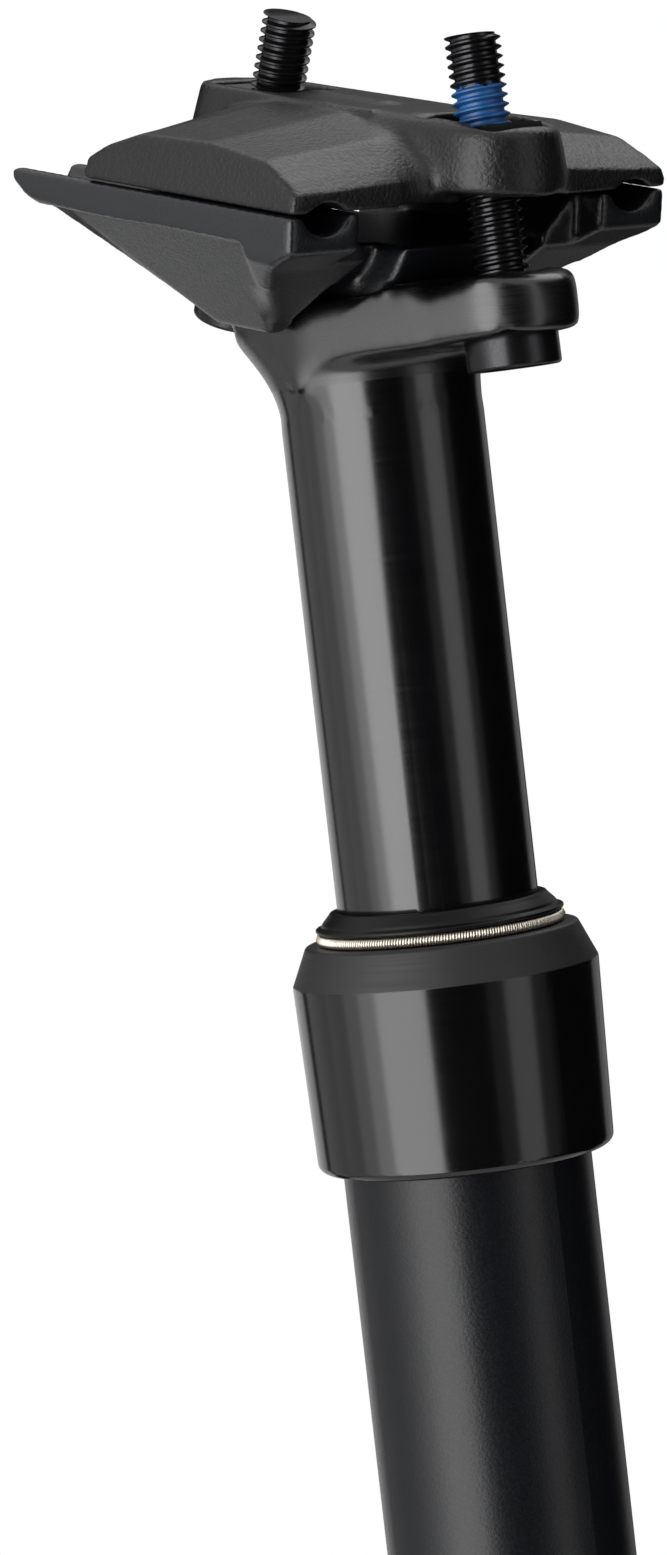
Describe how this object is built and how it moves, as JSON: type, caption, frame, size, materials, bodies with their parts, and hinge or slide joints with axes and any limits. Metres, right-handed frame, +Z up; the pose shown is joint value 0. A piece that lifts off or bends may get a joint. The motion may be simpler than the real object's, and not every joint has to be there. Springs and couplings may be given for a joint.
{
  "type": "dropper seatpost",
  "caption": "Telescopic bicycle seatpost with a two-bolt rail clamp head, sealed collar, gas spring cartridge and a cable lever in its foot.",
  "frame": {"origin": "on the post's axis, at the collar's underside, where the post stops on the frame's seat tube", "axes": "+Z up along the post, +X to the front of the bike (the shorter clamp nose and the front bolt), +Y to the bike's left"},
  "size_m": [0.0571, 0.054, 0.3729],
  "materials": {
    "tube_black": "black anodised, fine bead-blasted matte",
    "collar_black": "black anodised, turned and polished",
    "stanchion_black": "black hard anodised, satin, fine round brushing",
    "clamp_black": "forged, bead-blasted and black anodised, matte",
    "cradle_black": "forged and black anodised, satin",
    "wiper_rubber": "moulded nitrile, matte black",
    "seal_rubber": "moulded nitrile, smooth",
    "spring_steel": "wound bright spring wire",
    "bolt_oxide": "alloy steel, black oxide",
    "nut_steel": "turned steel, dark plated",
    "washer_aluminium": "turned and black anodised",
    "bushing_polymer": "filled bearing polymer",
    "key_brass": "turned brass",
    "cartridge_aluminium": "turned aluminium",
    "rod_chrome": "hard chromed and polished",
    "foot_black": "turned and black anodised",
    "pin_steel": "ground steel",
    "lever_steel": "machined stainless steel"
  },
  "bodies": {
    "outer": {"lower_tube": "tube_black", "collar": "collar_black", "collar_o_ring": "seal_rubber", "upper_bushing": "bushing_polymer", "wiper_seal": "wiper_rubber", "garter_spring": "spring_steel", "actuator_foot": "foot_black", "foot_o_ring": "seal_rubber", "housing_stop": "foot_black", "cartridge_rod": "rod_chrome", "rod_nut": "nut_steel", "main_piston": "cartridge_aluminium", "piston_ring": "seal_rubber", "lever_pin": "pin_steel"},
    "slider": {"stanchion": "stanchion_black", "guide_keys": "key_brass", "lower_bushing": "bushing_polymer", "cartridge_tube": "cartridge_aluminium", "cartridge_pad": "seal_rubber", "seal_head": "cartridge_aluminium", "cartridge_retainer": "bushing_polymer"},
    "separator": {"floating_piston": "cartridge_aluminium", "floating_piston_seal": "seal_rubber"},
    "cradle": {"lower_cradle": "cradle_black"},
    "clamp": {"upper_clamp": "clamp_black"},
    "nut_front": {"front_nut": "nut_steel"},
    "nut_rear": {"rear_nut": "nut_steel"},
    "washer_front": {"front_washer": "washer_aluminium"},
    "washer_rear": {"rear_washer": "washer_aluminium"},
    "bolt_front": {"front_bolt": "bolt_oxide"},
    "bolt_rear": {"rear_bolt": "bolt_oxide"},
    "valve": {"valve_pin": "pin_steel"},
    "lever": {"actuator_lever": "lever_steel"},
    "barrel": {"cable_barrel": "key_brass", "cable_screw": "nut_steel"}
  },
  "joints": [
    {"name": "post_drop", "type": "slide", "parent": "outer", "child": "slider", "axis": [0, 0, 1], "range_m": [-0.05, 0], "stiffness_N_per_m": 2000, "springref_m": 0.12},
    {"name": "separator_shift", "type": "slide", "parent": "slider", "child": "separator", "axis": [0, 0, 1], "range_m": [-0.0002, 0.0141]},
    {"name": "cradle_tilt", "type": "hinge", "parent": "slider", "child": "cradle", "pos_m": [0.003, 0, 0.1051], "axis": [0, 1, 0], "range_deg": [-9, 7]},
    {"name": "clamp_lift", "type": "slide", "parent": "cradle", "child": "clamp", "axis": [0.2233, 0, 0.9748], "range_m": [0, 0.0037]},
    {"name": "nut_front_turn", "type": "hinge", "parent": "clamp", "child": "nut_front", "pos_m": [0.0209, 0, 0.10787], "axis": [0, 1, 0], "range_deg": [-5.8, 7.43]},
    {"name": "washer_front_turn", "type": "hinge", "parent": "slider", "child": "washer_front", "pos_m": [0.02152, 0, 0.0844], "axis": [0, 1, 0], "range_deg": [-1.76, 1.4]},
    {"name": "bolt_front_swing", "type": "hinge", "parent": "washer_front", "child": "bolt_front", "pos_m": [0.02152, 0, 0.0844], "axis": [0, 1, 0], "range_deg": [-0.1, 1.84]},
    {"name": "nut_rear_turn", "type": "hinge", "parent": "clamp", "child": "nut_rear", "pos_m": [-0.01203, 0, 0.11542], "axis": [0, 1, 0], "range_deg": [-5.82, 7.46]},
    {"name": "washer_rear_turn", "type": "hinge", "parent": "slider", "child": "washer_rear", "pos_m": [-0.02218, 0, 0.09337], "axis": [0, 1, 0], "range_deg": [-1.74, 1.38]},
    {"name": "bolt_rear_swing", "type": "hinge", "parent": "washer_rear", "child": "bolt_rear", "pos_m": [-0.02218, 0, 0.09337], "axis": [0, 1, 0], "range_deg": [-1.58, 0.1]},
    {"name": "valve_push", "type": "slide", "parent": "outer", "child": "valve", "axis": [0, 0, 1], "range_m": [0, 0.0015], "stiffness_N_per_m": 200, "springref_m": -0.03},
    {"name": "lever_pull", "type": "hinge", "parent": "outer", "child": "lever", "pos_m": [-0.0045, 0, -0.23335], "axis": [0, -1, 0], "range_deg": [-0.2, 19.8]},
    {"name": "barrel_turn", "type": "hinge", "parent": "lever", "child": "barrel", "pos_m": [-0.0097, 0, -0.23335], "axis": [0, -1, 0], "range_deg": [-19.8, 0.2]}
  ],
  "couplings": [
    {"joint": "separator_shift", "follows": "post_drop", "ratio": -0.277},
    {"joint": "nut_front_turn", "follows": "cradle_tilt", "ratio": -0.815},
    {"joint": "nut_rear_turn", "follows": "cradle_tilt", "ratio": -0.8175},
    {"joint": "washer_front_turn", "follows": "cradle_tilt", "ratio": 0.185},
    {"joint": "washer_rear_turn", "follows": "cradle_tilt", "ratio": 0.1824},
    {"joint": "bolt_front_swing", "follows": "clamp_lift", "rad_per_m": 8.2},
    {"joint": "bolt_rear_swing", "follows": "clamp_lift", "rad_per_m": -7},
    {"joint": "lever_pull", "follows": "valve_push", "rad_per_m": 226.55},
    {"joint": "barrel_turn", "follows": "valve_push", "rad_per_m": -226.55}
  ]
}
